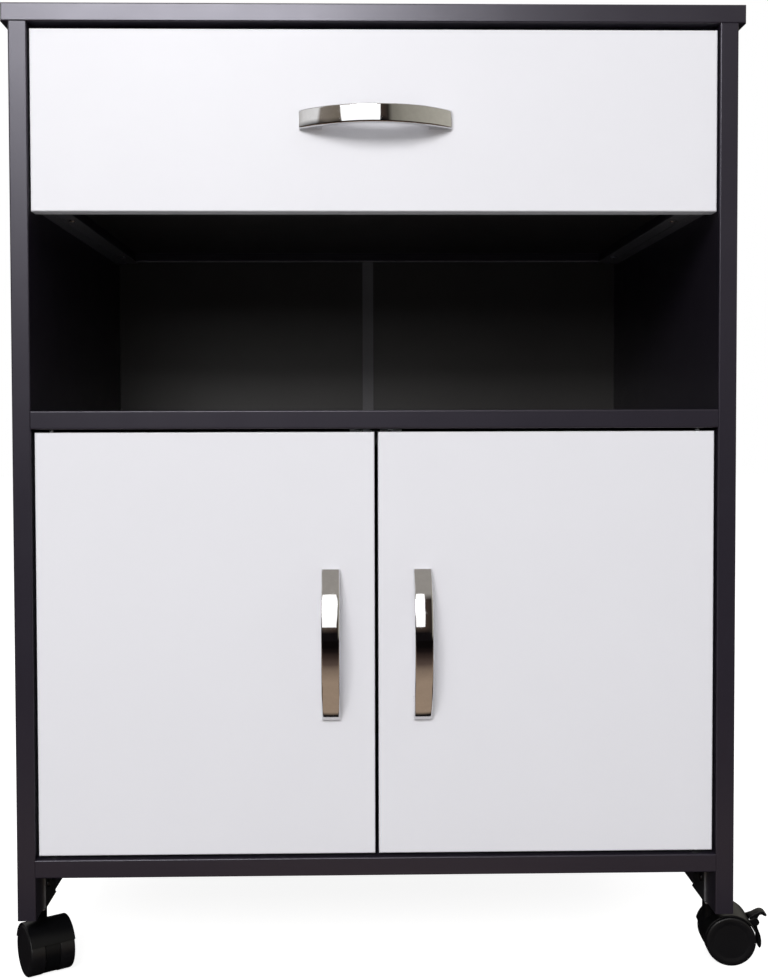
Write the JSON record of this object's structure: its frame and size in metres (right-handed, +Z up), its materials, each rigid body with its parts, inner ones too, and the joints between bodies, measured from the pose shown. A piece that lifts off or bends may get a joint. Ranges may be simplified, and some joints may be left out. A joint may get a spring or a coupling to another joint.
{
  "type": "microwave stand with drawer",
  "caption": "Rolling kitchen microwave stand: dark board carcass, pale drawer over an open bay, cupboard with paired doors, arched bright handles and hooded casters.",
  "frame": {"origin": "on the floor under the middle of the overall box, casters included", "axes": "+Z up, the drawer and doors face -Y, +X to the right of someone facing the front"},
  "size_m": [0.6698, 0.409, 0.798],
  "materials": {
    "melamine_charcoal": "satin charcoal melamine on chipboard",
    "melamine_white": "satin white melamine on chipboard",
    "hardboard_black": "thin dark hardboard",
    "black_plastic": "matt black moulding",
    "grey_plastic": "matt dark grey extrusion",
    "black_zinc": "black zinc-plated steel",
    "caster_nylon": "satin black nylon moulding",
    "wheel_plastic": "satin black hard plastic",
    "chrome_plate": "bright chrome plate on zinc casting",
    "zinc_steel": "bright zinc-plated steel",
    "runner_steel": "dark grey enamelled sheet steel",
    "nylon_white": "natural white nylon",
    "beech": "plain turned beech",
    "magnet_ferrite": "dark grey ferrite"
  },
  "bodies": {
    "cabinet": {"top_board": "melamine_charcoal", "side_board_left": "melamine_charcoal", "side_board_right": "melamine_charcoal", "middle_shelf": "melamine_charcoal", "bottom_board": "melamine_charcoal", "back_board_left": "hardboard_black", "back_board_right": "hardboard_black", "back_joining_strip": "grey_plastic", "back_nails": "zinc_steel", "cam_locks": "zinc_steel", "cam_bolts": "zinc_steel", "wooden_dowels": "beech", "cabinet_runner_left": "runner_steel", "cabinet_runner_right": "runner_steel", "hardware_screws": "black_zinc", "catch_body": "black_plastic", "catch_magnets": "magnet_ferrite", "pivot_sockets": "black_plastic", "caster_brackets": "black_zinc", "swivel_stems": "zinc_steel"},
    "drawer": {"drawer_front": "melamine_white", "drawer_side_left": "melamine_charcoal", "drawer_side_right": "melamine_charcoal", "drawer_back": "melamine_charcoal", "drawer_bottom": "hardboard_black", "drawer_handle": "chrome_plate", "drawer_handle_screws": "zinc_steel", "drawer_cam_locks": "zinc_steel", "drawer_cam_bolts": "zinc_steel", "drawer_box_screws": "zinc_steel", "drawer_runner_left": "runner_steel", "drawer_runner_right": "runner_steel"},
    "cabinet_roller_left": {"cabinet_roller_left": "nylon_white"},
    "cabinet_roller_right": {"cabinet_roller_right": "nylon_white"},
    "drawer_roller_left": {"drawer_roller_left": "nylon_white"},
    "drawer_roller_right": {"drawer_roller_right": "nylon_white"},
    "door_left_leaf": {"door_left": "melamine_white", "door_handle_left": "chrome_plate", "door_handle_screws_left": "zinc_steel", "strike_plate_left": "zinc_steel", "pivot_pins_left": "zinc_steel"},
    "door_right_leaf": {"door_right": "melamine_white", "door_handle_right": "chrome_plate", "door_handle_screws_right": "zinc_steel", "strike_plate_right": "zinc_steel", "pivot_pins_right": "zinc_steel"},
    "caster_front_left": {"caster_hood_front_left": "caster_nylon", "caster_axle_front_left": "zinc_steel"},
    "wheels_front_left": {"caster_wheels_front_left": "wheel_plastic"},
    "caster_front_right": {"caster_hood_front_right": "caster_nylon", "caster_axle_front_right": "zinc_steel"},
    "wheels_front_right": {"caster_wheels_front_right": "wheel_plastic"},
    "brake_front_right": {"brake_lever_front_right": "caster_nylon"},
    "caster_rear_left": {"caster_hood_rear_left": "caster_nylon", "caster_axle_rear_left": "zinc_steel"},
    "wheels_rear_left": {"caster_wheels_rear_left": "wheel_plastic"},
    "brake_rear_left": {"brake_lever_rear_left": "caster_nylon"},
    "caster_rear_right": {"caster_hood_rear_right": "caster_nylon", "caster_axle_rear_right": "zinc_steel"},
    "wheels_rear_right": {"caster_wheels_rear_right": "wheel_plastic"}
  },
  "joints": [
    {"name": "drawer_slide", "type": "slide", "parent": "cabinet", "child": "drawer", "axis": [0, -1, 0], "range_m": [0, 0.26]},
    {"name": "cabinet_roller_left_spin", "type": "hinge", "parent": "cabinet", "child": "cabinet_roller_left", "pos_m": [-0.2737, -0.1455, 0.646], "axis": [1, 0, 0], "continuous": true},
    {"name": "drawer_roller_left_spin", "type": "hinge", "parent": "drawer", "child": "drawer_roller_left", "pos_m": [-0.2714, 0.1635, 0.645], "axis": [1, 0, 0], "continuous": true},
    {"name": "cabinet_roller_right_spin", "type": "hinge", "parent": "cabinet", "child": "cabinet_roller_right", "pos_m": [0.2737, -0.1455, 0.646], "axis": [1, 0, 0], "continuous": true},
    {"name": "drawer_roller_right_spin", "type": "hinge", "parent": "drawer", "child": "drawer_roller_right", "pos_m": [0.2714, 0.1635, 0.645], "axis": [1, 0, 0], "continuous": true},
    {"name": "door_left_hinge", "type": "hinge", "parent": "cabinet", "child": "door_left_leaf", "pos_m": [-0.2645, -0.17, 0.28075], "axis": [0, 0, -1], "range_deg": [0, 110]},
    {"name": "door_right_hinge", "type": "hinge", "parent": "cabinet", "child": "door_right_leaf", "pos_m": [0.2645, -0.17, 0.28075], "axis": [0, 0, 1], "range_deg": [0, 110]},
    {"name": "caster_front_left_swivel", "type": "hinge", "parent": "cabinet", "child": "caster_front_left", "pos_m": [-0.2865, -0.1365, 0.045], "axis": [0, 0, 1], "continuous": true},
    {"name": "wheels_front_left_spin", "type": "hinge", "parent": "caster_front_left", "child": "wheels_front_left", "pos_m": [-0.27871, -0.14932, 0.021], "axis": [0.8545, 0.5195, 0], "continuous": true},
    {"name": "caster_front_right_swivel", "type": "hinge", "parent": "cabinet", "child": "caster_front_right", "pos_m": [0.2865, -0.1365, 0.045], "axis": [0, 0, 1], "continuous": true},
    {"name": "wheels_front_right_spin", "type": "hinge", "parent": "caster_front_right", "child": "wheels_front_right", "pos_m": [0.30145, -0.13775, 0.021], "axis": [0.0837, 0.9965, 0], "continuous": true},
    {"name": "brake_front_right_rock", "type": "hinge", "parent": "caster_front_right", "child": "brake_front_right", "pos_m": [0.32426, -0.13967, 0.03395], "axis": [0.0837, 0.9965, 0], "range_deg": [0, 15]},
    {"name": "caster_rear_left_swivel", "type": "hinge", "parent": "cabinet", "child": "caster_rear_left", "pos_m": [-0.2865, 0.1575, 0.045], "axis": [0, 0, 1], "continuous": true},
    {"name": "wheels_rear_left_spin", "type": "hinge", "parent": "caster_rear_left", "child": "wheels_rear_left", "pos_m": [-0.30145, 0.15876, 0.021], "axis": [-0.0837, -0.9965, 0], "continuous": true},
    {"name": "brake_rear_left_rock", "type": "hinge", "parent": "caster_rear_left", "child": "brake_rear_left", "pos_m": [-0.32426, 0.16067, 0.03395], "axis": [-0.0837, -0.9965, 0], "range_deg": [0, 15]},
    {"name": "caster_rear_right_swivel", "type": "hinge", "parent": "cabinet", "child": "caster_rear_right", "pos_m": [0.2865, 0.1575, 0.045], "axis": [0, 0, 1], "continuous": true},
    {"name": "wheels_rear_right_spin", "type": "hinge", "parent": "caster_rear_right", "child": "wheels_rear_right", "pos_m": [0.28088, 0.17141, 0.021], "axis": [-0.9272, -0.3746, 0], "continuous": true}
  ],
  "couplings": [
    {"joint": "cabinet_roller_left_spin", "follows": "drawer_slide", "rad_per_m": 129.87},
    {"joint": "cabinet_roller_right_spin", "follows": "drawer_slide", "rad_per_m": 129.87},
    {"joint": "drawer_roller_left_spin", "follows": "drawer_slide", "rad_per_m": 129.87},
    {"joint": "drawer_roller_right_spin", "follows": "drawer_slide", "rad_per_m": 129.87}
  ]
}
